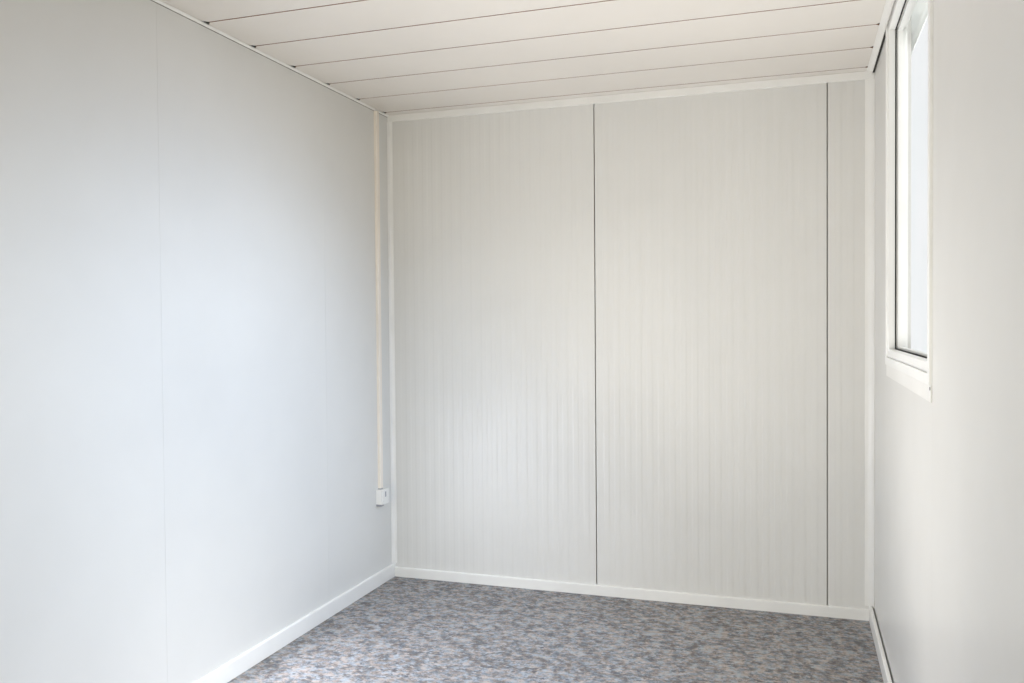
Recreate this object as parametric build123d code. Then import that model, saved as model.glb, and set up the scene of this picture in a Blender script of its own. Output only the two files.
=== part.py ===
from build123d import *
import math
import os

os.makedirs("parts", exist_ok=True)

# Portable site cabin: a folded steel frame, sandwich panel walls, one window, one door.
# Frame: origin at the middle of the underside, +X to the window wall, +Y to the plain
# end wall, +Z up. All sizes are in millimetres.

# Overall size, over the corner fittings
outer_length = 6058.0
outer_width = 2438.0

# Walls
wall_thickness = 75.0
wall_recess = 34.0
rib_pitch = 100.0
rib_crest = 34.0
rib_flank = 5.0
rib_depth = 2.0
panel_width = 1000.0
narrowest_panel = 100.0
side_cut_panel = 621.0
end_first_panel = 1037.0
side_joint_gap = 0.5
end_joint_gap = 5.0
tongue_depth = 12.0
tongue_thickness = 20.0
tongue_clearance = 0.3

# Corner fittings and posts
fitting_length = 178.0
fitting_width = 162.0
fitting_height = 118.0
fitting_proud = 3.0
fitting_slot_width = 64.0
fitting_slot_length = 124.0
fitting_slot_depth = 28.0
steel_thickness = 4.0

# Base frame and floor
base_height = 150.0
base_clearance = 12.0
joist_height = 100.0
joist_flange = 50.0
joist_steel = 3.0
joist_spacing = 500.0
deck_thickness = 21.0
covering_thickness = 3.0
underside_thickness = 1.0
pocket_width = 352.0
pocket_height = 85.0
pocket_spacing = 2055.0
pocket_clearance = 0.3

# Room height and roof
room_height = 2285.0
ceiling_strip_pitch = 265.0
ceiling_last_strip = 70.0
ceiling_joint_gap = 4.0
ceiling_strip_depth = 12.0
ceiling_steel = 1.0
ceiling_end_clearance = 2.0
wall_above_ceiling = 27.0
roof_frame_height = 126.0
batten_width = 40.0
batten_count = 4
bow_height = 80.0
bow_flange = 40.0
bow_spacing = 580.0
roof_rail_drop = 60.0
roof_rail_flange = 60.0
roof_sheet_thickness = 1.5
roof_rib_height = 18.0
roof_rib_pitch = 250.0
roof_rib_top = 30.0
roof_rib_flank = 16.0

# Window
window_width = 1060.0
window_sill_height = 1100.0
window_frame_face = 28.0
window_frame_depth = 70.0
window_frame_proud = 8.0
sash_face = 27.0
sash_depth = 58.0
sash_set_back = 5.0
glass_thickness = 24.0
glass_set_back = 22.0
gasket_width = 4.0
apron_height = 40.0
apron_thickness = 4.0
drip_projection = 22.0
drip_thickness = 2.0

# Door
door_opening = 1000.0
door_from_end_wall = 219.0
door_head_height = 2080.0
door_frame_face = 45.0
door_set_back = 12.0
door_gap = 4.0
leaf_thickness = 42.0
threshold_height = 20.0
handle_height = 1000.0
handle_reach = 38.0
handle_length = 130.0
handle_diameter = 18.0
handle_edge = 70.0
backplate_height = 220.0
backplate_width = 40.0
backplate_thickness = 6.0
hinge_diameter = 18.0
hinge_length = 100.0
hinge_count = 3

# Inside trims
skirting_thickness = 14.0
skirting_left_height = 65.0
skirting_end_height = 47.0
skirting_right_height = 60.0
skirting_right_gap = 6.0
skirting_round = 5.0
corner_trim_leg = 20.0
corner_trim_wide_leg = 36.0
corner_trim_thickness = 3.0
ceiling_trim_end_face = 32.0
ceiling_trim_end_thickness = 14.0
ceiling_trim_left_leg = 10.0
ceiling_trim_right_flange = 31.0
ceiling_trim_right_leg = 14.0
ceiling_trim_right_gap = 9.0
ceiling_trim_steel = 3.0

# Cable trunking and socket box on the left wall
trunking_width = 25.0
trunking_depth = 16.0
trunking_from_end_wall = 133.0
socket_width = 66.0
socket_height = 74.0
socket_depth = 36.0
socket_bottom = 392.0
socket_split = 2.0
socket_split_depth = 6.0

# Small clearances
seat = 0.3

# Derived planes
half_length = outer_length / 2
half_width = outer_width / 2
face_x = half_width - fitting_proud
face_y = half_length - fitting_proud
panel_out_x = half_width - wall_recess
panel_out_y = half_length - wall_recess
room_x = panel_out_x - wall_thickness
room_y = panel_out_y - wall_thickness
floor_z = base_height + covering_thickness
ceiling_z = floor_z + room_height
panel_top = ceiling_z + wall_above_ceiling
outer_height = panel_top + roof_frame_height
post_leg_x = fitting_width - fitting_proud
post_leg_y = fitting_length - fitting_proud
rail_end_x = half_width - fitting_width
rail_end_y = half_length - fitting_length
deck_bottom = base_height - deck_thickness
top_rail = outer_height - fitting_proud
side_joint_one = room_y - side_cut_panel
window_near = side_joint_one - panel_width
window_far = window_near + window_width
window_bottom = floor_z + window_sill_height
window_inner_x = room_x - window_frame_proud
strip_end_gap = window_frame_proud + ceiling_end_clearance
door_outer_x = panel_out_x - door_set_back
door_near = -room_y + door_from_end_wall
door_far = door_near + door_opening
door_head = floor_z + door_head_height


def block(x0, x1, y0, y1, z0, z1):
    """A box between two corners."""
    return Pos((x0 + x1) / 2, (y0 + y1) / 2, (z0 + z1) / 2) * Box(x1 - x0, y1 - y0, z1 - z0)


def prism_z(points, z0, z1):
    """An upright solid from a plan outline in X and Y."""
    return extrude(Plane.XY.offset(z0) * make_face(Polyline(points, close=True)), z1 - z0)


def prism_y(points, y0, y1):
    """A solid along Y from an outline of X and Z points."""
    face = make_face(Polyline([(x, y0, z) for x, z in points], close=True))
    return extrude(face, y1 - y0, dir=(0, 1, 0))


def prism_x(points, x0, x1):
    """A solid along X from an outline of Y and Z points."""
    face = make_face(Polyline([(x0, y, z) for y, z in points], close=True))
    return extrude(face, x1 - x0, dir=(1, 0, 0))


def save(name, *solids):
    """Write one node: one solid, or several that don't touch."""
    shape = solids[0] if len(solids) == 1 else Compound(children=list(solids))
    shape.label = name
    export_step(shape, f"parts/{name}.step")


def mirrored(solid, plane):
    """The solid and its mirror image."""
    return [solid, mirror(solid, about=plane)]


# Corner fittings: cast blocks with a long slot on each open face

def slot_cutter(plane):
    """A cutter for one slot, long side along the plane's X."""
    return extrude(plane * SlotOverall(fitting_slot_length, fitting_slot_width), -fitting_slot_depth)


def corner_fitting(top):
    """The fitting of the +X +Y corner, at the bottom or the top."""
    z0 = outer_height - fitting_height if top else 0.0
    z1 = z0 + fitting_height
    x0 = half_width - fitting_width
    y0 = half_length - fitting_length
    x_mid = (x0 + half_width) / 2
    y_mid = (y0 + half_length) / 2
    z_mid = (z0 + z1) / 2
    body = block(x0, half_width, y0, half_length, z0, z1)
    body = body.cut(slot_cutter(Plane((half_width, y_mid, z_mid), x_dir=(0, 1, 0), z_dir=(1, 0, 0))))
    body = body.cut(slot_cutter(Plane((x_mid, half_length, z_mid), x_dir=(1, 0, 0), z_dir=(0, 1, 0))))
    z_face = z1 if top else z0
    z_dir = (0, 0, 1) if top else (0, 0, -1)
    return body.cut(slot_cutter(Plane((x_mid, y_mid, z_face), x_dir=(0, 1, 0), z_dir=z_dir)))


def four_corners(solid):
    """Copies of a +X +Y corner solid at all four corners."""
    pair = mirrored(solid, Plane.YZ)
    return pair + [mirror(one, about=Plane.XZ) for one in pair]


def build_corners():
    save("corner_fittings_bottom", *four_corners(corner_fitting(False)))
    save("corner_fittings_top", *four_corners(corner_fitting(True)))
    t = steel_thickness
    x1 = face_x
    y1 = face_y
    x0 = x1 - post_leg_x
    y0 = y1 - post_leg_y
    outline = [
        (panel_out_x, y0),
        (x1, y0),
        (x1, y1),
        (x0, y1),
        (x0, panel_out_y),
        (x0 + t, panel_out_y),
        (x0 + t, y1 - t),
        (x1 - t, y1 - t),
        (x1 - t, y0 + t),
        (panel_out_x, y0 + t),
    ]
    post = prism_z(outline, fitting_height, outer_height - fitting_height)
    save("corner_posts", *four_corners(post))


# Base frame: channel rails with pockets for a forklift, joists, deck and floor covering

def base_rail_outline(face, inner):
    """A channel open to the inside, from its outer face to its inner flange edge."""
    t = steel_thickness
    return [
        (inner, base_height),
        (face, base_height),
        (face, base_clearance),
        (inner, base_clearance),
        (inner, base_clearance + t),
        (face - t, base_clearance + t),
        (face - t, base_height - t),
        (inner, base_height - t),
    ]


def pocket_places():
    """The middle of each forklift pocket along the cabin."""
    return [-pocket_spacing / 2, pocket_spacing / 2]


def build_base():
    t = steel_thickness
    pocket_top = deck_bottom
    pocket_bottom = pocket_top - pocket_height - 2 * t
    half_pocket = pocket_width / 2 + t
    rail = prism_y(base_rail_outline(face_x, room_x), -rail_end_y, rail_end_y)
    for y in pocket_places():
        gap = pocket_clearance
        hole = block(
            face_x - 2 * t, half_width, y - half_pocket - gap, y + half_pocket + gap,
            pocket_bottom - gap, pocket_top + gap,
        )
        rail = rail.cut(hole)
    save("base_side_rails", *mirrored(rail, Plane.YZ))
    end = prism_x(base_rail_outline(face_y, room_y), -rail_end_x, rail_end_x)
    save("base_end_rails", *mirrored(end, Plane.XZ))

    pockets = []
    for y in pocket_places():
        tube = block(-face_x, face_x, y - half_pocket, y + half_pocket, pocket_bottom, pocket_top)
        bore = block(
            -half_width, half_width, y - pocket_width / 2, y + pocket_width / 2,
            pocket_bottom + t, pocket_top - t,
        )
        pockets.append(tube.cut(bore))
    save("forklift_pockets", *pockets)

    joists = []
    joist_bottom = deck_bottom - joist_height
    count = int((2 * room_y) // joist_spacing)
    spacing = 2 * room_y / count
    for n in range(1, count):
        y = -room_y + n * spacing
        near = min(abs(y - place) for place in pocket_places())
        if near < half_pocket + joist_flange:
            continue
        s = joist_steel
        outline = [
            (y + joist_flange / 2, deck_bottom),
            (y - joist_flange / 2, deck_bottom),
            (y - joist_flange / 2, joist_bottom),
            (y + joist_flange / 2, joist_bottom),
            (y + joist_flange / 2, joist_bottom + s),
            (y - joist_flange / 2 + s, joist_bottom + s),
            (y - joist_flange / 2 + s, deck_bottom - s),
            (y + joist_flange / 2, deck_bottom - s),
        ]
        joists.append(prism_x(outline, -face_x + t, face_x - t))
    save("floor_joists", *joists)

    save("floor_deck", block(-room_x, room_x, -room_y, room_y, deck_bottom, base_height))
    save("floor_covering", block(-room_x, room_x, -room_y, room_y, base_height, floor_z))
    save("floor_underside", block(
        -rail_end_x, rail_end_x, -rail_end_y, rail_end_y,
        joist_bottom - underside_thickness, joist_bottom,
    ))


# Walls: upright sandwich panels, ribbed outside, tongued and grooved at each joint

def ribbed_edge(start, stop, out):
    """Points of the ribbed outer face, from start to stop along the wall."""
    width = stop - start
    count = max(1, int(width // rib_pitch))
    margin = (width - (count - 1) * rib_pitch) / 2
    points = [(start, out)]
    for n in range(count):
        middle = start + margin + n * rib_pitch
        half = rib_crest / 2
        if middle - half - rib_flank <= start or middle + half + rib_flank >= stop:
            continue
        points.append((middle - half - rib_flank, out))
        points.append((middle - half, out - rib_depth))
        points.append((middle + half, out - rib_depth))
        points.append((middle + half + rib_flank, out))
    points.append((stop, out))
    return points


def panel_outline(start, stop, tongue_end, groove_end):
    """Plan outline of a panel that runs from start to stop, inner face at 0.

    The tongue stands out past stop, and the groove is cut in at start.
    """
    middle = wall_thickness / 2
    half_tongue = tongue_thickness / 2
    half_groove = half_tongue + tongue_clearance
    points = ribbed_edge(start, stop, wall_thickness)
    if tongue_end:
        reach = stop + tongue_end
        points += [(stop, middle + half_tongue), (reach, middle + half_tongue)]
        points += [(reach, middle - half_tongue), (stop, middle - half_tongue)]
    points += [(stop, 0.0), (start, 0.0)]
    if groove_end:
        reach = start + groove_end
        points += [(start, middle - half_groove), (reach, middle - half_groove)]
        points += [(reach, middle + half_groove), (start, middle + half_groove)]
    return points


def panel_row(joints, gap, z0, z1, place):
    """Panels between the joint places; place turns an outline point into X and Y."""
    panels = []
    last = len(joints) - 2
    for n in range(last + 1):
        start = joints[n] + (0.0 if n == 0 else gap / 2)
        stop = joints[n + 1] - (0.0 if n == last else gap / 2)
        tongue = 0.0 if n == last else tongue_depth + gap - tongue_clearance
        groove = 0.0 if n == 0 else tongue_depth
        outline = [place(u, v) for u, v in panel_outline(start, stop, tongue, groove)]
        panels.append(prism_z(outline, z0, z1))
    return panels


def side_joints():
    """Joint places along a side wall, from the end with the narrow strip to the other."""
    places = []
    y = side_joint_one
    while y > -room_y + narrowest_panel:
        places.append(y)
        y -= panel_width
    return [-panel_out_y] + places[::-1] + [panel_out_y]


def end_joints():
    """Joint places along an end wall, from the left wall to the right wall."""
    places = [-room_x]
    x = -room_x + end_first_panel
    while x < room_x - narrowest_panel:
        places.append(x)
        x += panel_width
    return places + [room_x]


def left_place(u, v):
    return (-room_x - v, u)


def right_place(u, v):
    return (room_x + v, u)


def back_place(u, v):
    return (u, room_y + v)


def front_place(u, v):
    return (u, -room_y - v)


def build_walls():
    bottom = base_height
    joints = side_joints()
    save("left_wall_panels", *panel_row(
        joints, side_joint_gap, bottom, panel_top, left_place))

    save("back_wall_panels", *panel_row(
        end_joints(), end_joint_gap, bottom, panel_top, back_place))
    save("front_wall_panels", *panel_row(
        end_joints(), end_joint_gap, bottom, panel_top, front_place))

    gap = side_joint_gap
    save("right_wall_back_panel", *panel_row(
        [window_far + gap, panel_out_y], gap, bottom, panel_top, right_place))
    save("right_wall_window_panel", *panel_row(
        [window_near + gap / 2, window_far], gap, bottom,
        window_bottom - seat, right_place))
    low = door_far + narrowest_panel
    high = window_near - narrowest_panel
    middle = [door_far] + [y for y in joints if low < y < high] + [window_near - gap / 2]
    save("right_wall_middle_panels", *panel_row(
        middle, gap, bottom, panel_top, right_place))
    save("right_wall_over_door_panel", *panel_row(
        [door_near + gap, door_far - gap], gap, door_head + seat,
        panel_top, right_place))
    save("right_wall_front_panel", *panel_row(
        [-panel_out_y, door_near], gap, bottom, panel_top, right_place))


# Roof: rails, bows, a ribbed sheet, battens and the ceiling strips

def roof_rail_outline(face, inner, lip):
    """A rail with a hanging web, a flange on the wall panels and a lip over the sheet."""
    t = steel_thickness
    return [
        (face, panel_top - roof_rail_drop),
        (face, top_rail),
        (lip, top_rail),
        (lip, top_rail - t),
        (face - t, top_rail - t),
        (face - t, panel_top + t),
        (inner, panel_top + t),
        (inner, panel_top),
        (face - t, panel_top),
        (face - t, panel_top - roof_rail_drop),
    ]


def build_roof():
    t = steel_thickness
    side = prism_y(
        roof_rail_outline(face_x, room_x, face_x - roof_rail_flange), -rail_end_y, rail_end_y)
    save("roof_side_rails", *mirrored(side, Plane.YZ))
    end = prism_x(
        roof_rail_outline(face_y, room_y, face_y - roof_rail_flange), -rail_end_x, rail_end_x)
    save("roof_end_rails", *mirrored(end, Plane.XZ))

    bow_bottom = panel_top + t
    bow_top = bow_bottom + bow_height
    s = joist_steel
    bows = []
    count = int((2 * room_y) // bow_spacing)
    spacing = 2 * room_y / count
    for n in range(1, count):
        y = -room_y + n * spacing
        outline = [
            (y + bow_flange / 2, bow_top),
            (y - bow_flange / 2, bow_top),
            (y - bow_flange / 2, bow_bottom),
            (y + bow_flange / 2, bow_bottom),
            (y + bow_flange / 2, bow_bottom + s),
            (y - bow_flange / 2 + s, bow_bottom + s),
            (y - bow_flange / 2 + s, bow_top - s),
            (y + bow_flange / 2, bow_top - s),
        ]
        bows.append(prism_x(outline, -face_x + t, face_x - t))
    save("roof_bows", *bows)

    sheet_end = face_y - t
    count = int((2 * sheet_end) // roof_rib_pitch)
    margin = (2 * sheet_end - (count - 1) * roof_rib_pitch) / 2
    upper = [(-sheet_end, bow_top + roof_sheet_thickness)]
    lower = [(-sheet_end, bow_top)]
    for n in range(count):
        y = -sheet_end + margin + n * roof_rib_pitch
        half = roof_rib_top / 2
        foot = half + roof_rib_flank
        rise = bow_top + roof_rib_height
        lower += [(y - foot, bow_top), (y - half, rise), (y + half, rise), (y + foot, bow_top)]
        upper += [
            (y - foot - roof_sheet_thickness / 2, bow_top + roof_sheet_thickness),
            (y - half - roof_sheet_thickness / 2, rise + roof_sheet_thickness),
            (y + half + roof_sheet_thickness / 2, rise + roof_sheet_thickness),
            (y + foot + roof_sheet_thickness / 2, bow_top + roof_sheet_thickness),
        ]
    upper.append((sheet_end, bow_top + roof_sheet_thickness))
    lower.append((sheet_end, bow_top))
    sheet = prism_x(lower + upper[::-1], -face_x + t, face_x - t)
    corner = block(
        rail_end_x - seat, half_width, rail_end_y - seat, half_length, bow_bottom, outer_height)
    for cut in four_corners(corner):
        sheet = sheet.cut(cut)
    save("roof_sheet", sheet)

    strip_top = ceiling_z + ceiling_strip_depth
    battens = []
    for n in range(batten_count):
        x = -room_x + (n + 0.5) * 2 * room_x / batten_count
        battens.append(block(
            x - batten_width / 2, x + batten_width / 2, -room_y, room_y, strip_top, bow_bottom))
    save("ceiling_battens", *battens)

    strips = []
    joints = []
    y = room_y - ceiling_last_strip
    while y > -room_y + ceiling_joint_gap:
        joints.append(y)
        y -= ceiling_strip_pitch
    places = [-room_y + strip_end_gap] + joints[::-1] + [room_y - strip_end_gap]
    for n in range(len(places) - 1):
        y0 = places[n] + (0.0 if n == 0 else ceiling_joint_gap / 2)
        y1 = places[n + 1] - (0.0 if n == len(places) - 2 else ceiling_joint_gap / 2)
        c = ceiling_steel
        outline = [
            (y0, strip_top),
            (y0, ceiling_z),
            (y1, ceiling_z),
            (y1, strip_top),
            (y1 - c, strip_top),
            (y1 - c, ceiling_z + c),
            (y0 + c, ceiling_z + c),
            (y0 + c, strip_top),
        ]
        strips.append(prism_x(outline, -room_x + strip_end_gap, room_x - strip_end_gap))
    save("ceiling_strips", *strips)


# Window: mitred frame and sash bars, gasket, double glass, outside drip and inside apron

def mitred_ring(x0, x1, y0, y1, z0, z1, face):
    """Four bars of a ring in the Y Z plane, mitred at the corners."""
    gap = seat / 2
    bottom = [(y0 + gap, z0), (y1 - gap, z0), (y1 - face - gap, z0 + face), (y0 + face + gap, z0 + face)]
    top = [(y0 + gap, z1), (y1 - gap, z1), (y1 - face - gap, z1 - face), (y0 + face + gap, z1 - face)]
    near = [(y0, z0 + gap), (y0 + face, z0 + face + gap), (y0 + face, z1 - face - gap), (y0, z1 - gap)]
    far = [(y1, z0 + gap), (y1 - face, z0 + face + gap), (y1 - face, z1 - face - gap), (y1, z1 - gap)]
    return [prism_x(outline, x0, x1) for outline in (bottom, top, near, far)]


def build_window():
    y0 = window_near
    y1 = window_far
    z0 = window_bottom
    z1 = panel_top
    x0 = window_inner_x
    x1 = x0 + window_frame_depth
    save("window_frame", *mitred_ring(x0, x1, y0, y1, z0, z1, window_frame_face))
    a0 = y0 + window_frame_face
    a1 = y1 - window_frame_face
    b0 = z0 + window_frame_face
    b1 = z1 - window_frame_face
    sx = x0 + sash_set_back
    save("window_sash", *mitred_ring(sx, sx + sash_depth, a0, a1, b0, b1, sash_face))
    c0 = a0 + sash_face
    c1 = a1 - sash_face
    d0 = b0 + sash_face
    d1 = b1 - sash_face
    glass_x = room_x + glass_set_back
    save("window_gasket", *mitred_ring(
        glass_x - gasket_width, glass_x, c0, c1, d0, d1, gasket_width))
    save("window_glass", block(glass_x, glass_x + glass_thickness, c0, c1, d0, d1))
    save("window_apron", block(
        room_x - apron_thickness, room_x, y0, y1, z0 - apron_height, z0 - seat))
    t = drip_thickness
    wall = panel_out_x
    out = wall + drip_projection
    outline = [
        (x1, z0 + t),
        (x1, z0 + 3 * t),
        (x1 + t, z0 + 3 * t),
        (x1 + t, z0 + 2 * t),
        (out, z0),
        (out, z0 - 4 * t),
        (out - t, z0 - 4 * t),
        (out - t, z0 - t),
        (wall + seat, z0),
        (x1, z0 + t / 2),
    ]
    save("window_drip", prism_y(outline, y0, y1))


# Door: steel jambs, head and threshold, a flush leaf, lever handles and hinges

def lever_handle(side):
    """Backplate and lever; side is 1 outside and -1 inside."""
    leaf_face = door_outer_x if side > 0 else door_outer_x - leaf_thickness
    y = door_far - door_frame_face - door_gap - handle_edge
    z = floor_z + handle_height
    plate_out = leaf_face + side * backplate_thickness
    x_low = min(leaf_face, plate_out)
    x_high = max(leaf_face, plate_out)
    half = backplate_width / 2
    plate = block(x_low, x_high, y - half, y + half, z - backplate_height / 2, z + backplate_height / 2)
    r = handle_diameter / 2
    neck = Pos(plate_out, y, z) * Rot(0, side * 90, 0) * Cylinder(
        r, handle_reach - r, align=(Align.CENTER, Align.CENTER, Align.MIN))
    bar_x = plate_out + side * (handle_reach - r)
    bar = Pos(bar_x, y + r, z) * Rot(90, 0, 0) * Cylinder(
        r, handle_length, align=(Align.CENTER, Align.CENTER, Align.MIN))
    return plate.fuse(neck).fuse(bar)


def build_door():
    x1 = door_outer_x
    x0 = room_x
    y0 = door_near
    y1 = door_far
    f = door_frame_face
    z0 = base_height
    save(
        "door_frame",
        block(x0, x1, y0 + seat, y0 + f, z0, door_head - f - seat),
        block(x0, x1, y1 - f, y1 - seat, z0, door_head - f - seat),
        block(x0, x1, y0 + seat, y1 - seat, door_head - f, door_head),
    )
    save("door_threshold", block(
        x0, x1, y0 + f, y1 - f, base_height, floor_z + threshold_height))
    leaf_x1 = door_outer_x
    leaf_z0 = floor_z + threshold_height + door_gap
    save("door_leaf", block(
        leaf_x1 - leaf_thickness, leaf_x1, y0 + f + door_gap, y1 - f - door_gap,
        leaf_z0, door_head - f - door_gap))
    save("door_handles", lever_handle(1), lever_handle(-1))
    hinges = []
    for n in range(hinge_count):
        z = leaf_z0 + (n + 0.5) * (door_head - f - door_gap - leaf_z0) / hinge_count
        r = hinge_diameter / 2
        hinges.append(Pos(leaf_x1 + r, y0 + f + door_gap / 2, z) * Cylinder(r, hinge_length))
    save("door_hinges", *hinges)


# Inside trims: skirtings, corner trims and ceiling trims

def skirting_outline(height):
    """Section of a skirting that stands off the wall at 0, with a rounded top."""
    r = skirting_round
    points = [(0.0, 0.0), (skirting_thickness, 0.0), (skirting_thickness, height - r)]
    for n in range(1, 4):
        angle = n * math.pi / 8
        points.append((
            skirting_thickness - r + r * math.cos(angle), height - r + r * math.sin(angle)))
    points.append((skirting_thickness - r, height))
    points.append((0.0, height))
    return points


def build_trims():
    end_reach = room_x - skirting_thickness
    left = [(-room_x + u, floor_z + v) for u, v in skirting_outline(skirting_left_height)]
    save("skirting_left", prism_y(left, -room_y, room_y))
    right_wall = room_x - skirting_right_gap
    right = [(right_wall - u, floor_z + v) for u, v in skirting_outline(skirting_right_height)]
    runs = [(-room_y, door_near), (door_far, room_y)]
    save("skirting_right", *[prism_y(right, start, stop) for start, stop in runs])
    end = [(room_y - u, floor_z + v) for u, v in skirting_outline(skirting_end_height)]
    back = prism_x(end, -end_reach, right_wall - skirting_thickness)
    save("skirting_ends", *mirrored(back, Plane.XZ))

    t = corner_trim_thickness
    high = ceiling_z - ceiling_trim_end_face
    sides = (
        (-1, corner_trim_leg, skirting_left_height),
        (1, corner_trim_wide_leg, max(skirting_right_height, skirting_end_height)),
    )
    trims = []
    for side, leg, foot in sides:
        x = side * room_x
        outline = [
            (x, room_y),
            (x - side * leg, room_y),
            (x - side * leg, room_y - t),
            (x - side * t, room_y - t),
            (x - side * t, room_y - leg),
            (x, room_y - leg),
        ]
        trims += mirrored(prism_z(outline, floor_z + foot, high), Plane.XZ)
    save("corner_trims", *trims)

    face = ceiling_trim_end_face
    s = ceiling_trim_steel
    leg = ceiling_trim_left_leg
    left = [
        (-room_x, ceiling_z),
        (-room_x + leg, ceiling_z),
        (-room_x + leg, ceiling_z - s),
        (-room_x + s, ceiling_z - leg),
        (-room_x, ceiling_z - leg),
    ]
    end_depth = ceiling_trim_end_thickness
    save("ceiling_trim_left", prism_y(left, -room_y + end_depth, room_y - end_depth))
    flange = room_x - ceiling_trim_right_flange
    gap_x = room_x - ceiling_trim_right_gap
    right = [
        (room_x - seat, ceiling_z),
        (flange, ceiling_z),
        (flange, ceiling_z - s),
        (gap_x - s, ceiling_z - s),
        (gap_x - s, ceiling_z - ceiling_trim_right_leg),
        (gap_x, ceiling_z - ceiling_trim_right_leg),
        (gap_x, ceiling_z - s),
        (room_x - seat, ceiling_z - s),
    ]
    trim = prism_y(right, -room_y + end_depth, room_y - end_depth)
    notch = block(window_inner_x - seat, room_x, window_near, window_far, window_bottom, panel_top)
    save("ceiling_trim_right", trim.cut(notch))
    back = block(-room_x, room_x, room_y - end_depth, room_y, ceiling_z - face, ceiling_z)
    save("ceiling_trim_ends", *mirrored(back, Plane.XZ))


# Cable trunking and socket box

def build_electrics():
    y1 = room_y - trunking_from_end_wall
    y0 = y1 - trunking_width
    top = ceiling_z - ceiling_trim_left_leg
    bottom = floor_z + socket_bottom
    box_top = bottom + socket_height
    save("cable_trunking", block(-room_x, -room_x + trunking_depth, y0, y1, box_top, top))
    middle = (y0 + y1) / 2
    half = socket_width / 2
    box = block(-room_x, -room_x + socket_depth, middle - half, middle + half, bottom, box_top)
    split = block(
        -room_x + socket_depth - socket_split_depth, -room_x + socket_depth + 1,
        middle - socket_split / 2, middle + socket_split / 2, bottom + socket_height / 5, box_top + 1,
    )
    save("socket_box", box.cut(split))


build_corners()
build_base()
build_walls()
build_roof()
build_window()
build_door()
build_trims()
build_electrics()
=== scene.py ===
"""Looks of a portable site cabin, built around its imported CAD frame."""

import math

import bmesh
import bpy
from bpy.props import FloatProperty, FloatVectorProperty, IntProperty, PointerProperty
from mathutils import Matrix, Vector


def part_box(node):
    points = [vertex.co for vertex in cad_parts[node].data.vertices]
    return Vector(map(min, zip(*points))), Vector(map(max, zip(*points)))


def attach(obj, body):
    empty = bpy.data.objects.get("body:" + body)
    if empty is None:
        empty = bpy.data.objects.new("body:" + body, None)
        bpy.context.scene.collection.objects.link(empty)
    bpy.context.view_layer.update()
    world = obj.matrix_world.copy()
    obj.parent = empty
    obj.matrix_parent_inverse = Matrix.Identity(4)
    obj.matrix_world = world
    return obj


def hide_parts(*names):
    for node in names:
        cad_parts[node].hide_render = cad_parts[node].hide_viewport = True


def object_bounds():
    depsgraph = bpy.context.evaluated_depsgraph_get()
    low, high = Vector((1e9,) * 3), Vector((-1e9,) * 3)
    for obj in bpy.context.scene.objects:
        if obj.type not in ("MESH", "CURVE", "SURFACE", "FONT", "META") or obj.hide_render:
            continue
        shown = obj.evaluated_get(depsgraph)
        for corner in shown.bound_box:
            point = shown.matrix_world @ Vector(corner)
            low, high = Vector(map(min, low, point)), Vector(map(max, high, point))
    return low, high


bl_info = {
    "name": "Portable Site Cabin",
    "version": (1, 0, 0),
    "blender": (4, 5, 0),
    "location": "3D View > Sidebar > Cabin",
    "description": "Builds the visible pieces and finishes of a portable site cabin",
    "category": "Object",
}

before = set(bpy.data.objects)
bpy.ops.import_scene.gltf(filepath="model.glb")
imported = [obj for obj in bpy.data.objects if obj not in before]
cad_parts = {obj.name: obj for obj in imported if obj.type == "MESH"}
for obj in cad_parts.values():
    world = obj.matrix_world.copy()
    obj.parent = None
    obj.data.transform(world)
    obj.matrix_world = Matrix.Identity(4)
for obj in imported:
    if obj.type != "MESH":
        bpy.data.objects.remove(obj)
CAD_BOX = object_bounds()
MM = 0.001
# Edge radius of blocks that are seen only in a gap.
GAP_EDGE = 0.3 * MM

# The room, from the pieces that bound it.
LEFT_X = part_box("left_wall_panels")[1].x
RIGHT_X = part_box("right_wall_middle_panels")[0].x
BACK_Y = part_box("back_wall_panels")[0].y
FRONT_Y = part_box("front_wall_panels")[1].y
FLOOR_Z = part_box("floor_covering")[1].z
CEILING_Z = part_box("ceiling_strips")[0].z

# Joints of the end wall panels, from the left wall, and their gap.
END_JOINTS = (LEFT_X + 1.037, LEFT_X + 2.037)
END_JOINT_GAP = 5 * MM

# Joints of the ceiling strips, from the back wall.
STRIP_PITCH = 0.265
LAST_STRIP = 0.070
STRIP_GAP = 7 * MM
STRIP_BEARING = 4 * MM
FOLD_RADIUS = 2.0 * MM
# Heights above the strips' faces of what closes a joint and of the painted shade behind a cut
# corner.
TONGUE_LEVELS = (6.5 * MM, 7.5 * MM)
HOLLOW_LEVELS = (5.0 * MM, 6.0 * MM)
# The painted shade reaches a little past the cut corner.
HOLLOW_REACH = 1.1
# How much of each cut corner shows past the trims, at the left and the right wall.
SHOWN_NOTCHES = (16 * MM, 10 * MM)

# The narrow bead by the left wall, and the edge of the wide trim by the right one.
BEAD_WIDTH = 8.5 * MM
TRIM_EDGE_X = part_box("ceiling_trim_right")[0].x


def linear(code):
    """An sRGB hex colour as the linear values that shaders take."""
    parts = [int(code[i:i + 2], 16) / 255 for i in (0, 2, 4)]
    return tuple(c / 12.92 if c <= 0.04045 else ((c + 0.055) / 1.055) ** 2.4 for c in parts)


def opaque(colour):
    return (*colour[:3], 1.0)


# Settings a user would change


def length_of(label, description, default, least):
    return FloatProperty(
        name=label, description=description, default=default, min=least, unit="LENGTH",
        subtype="DISTANCE")


def strength_of(label, description, default):
    return FloatProperty(name=label, description=description, default=default, min=0.0)


def colour_of(label, description, code):
    return FloatVectorProperty(
        name=label, description=description, default=linear(code), size=3, min=0.0, max=1.0,
        subtype="COLOR")


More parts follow.
